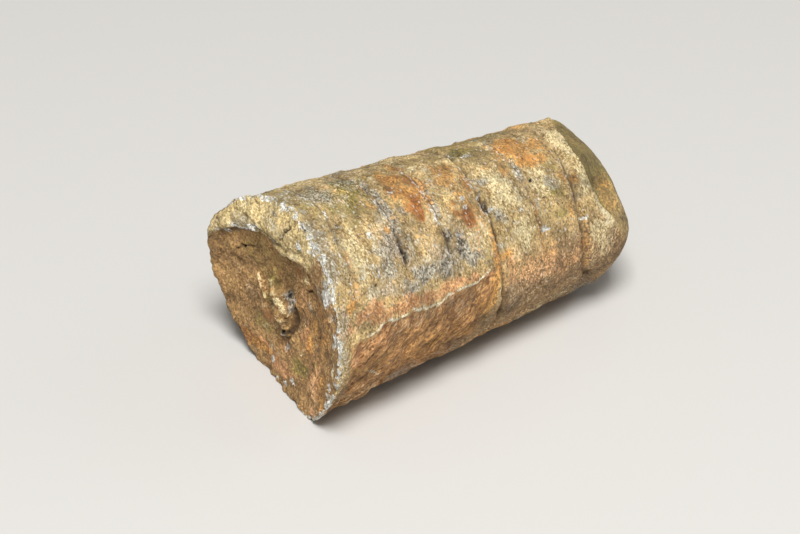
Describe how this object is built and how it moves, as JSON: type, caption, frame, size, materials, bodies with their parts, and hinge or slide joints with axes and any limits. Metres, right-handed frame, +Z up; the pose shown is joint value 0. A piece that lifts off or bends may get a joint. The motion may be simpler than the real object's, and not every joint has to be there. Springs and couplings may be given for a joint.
{
  "type": "orthocone fossil segment",
  "caption": "Worn stone mould of a straight shell's chambers, lying on its flattened underside, with a dished wide end and a domed narrow end.",
  "frame": {"origin": "middle of the footprint, on the surface that the fossil lies on", "axes": "+X along the shell from the dished wide end to the domed narrow end, +Y toward the back, +Z up"},
  "size_m": [0.0664, 0.0372, 0.0345],
  "materials": {
    "stone": "dry worn limestone, ochre and tan with grey, rust and olive stains and white calcite flecks"
  },
  "bodies": {
    "root": {"orthocone_mould": "stone"}
  },
  "joints": []
}
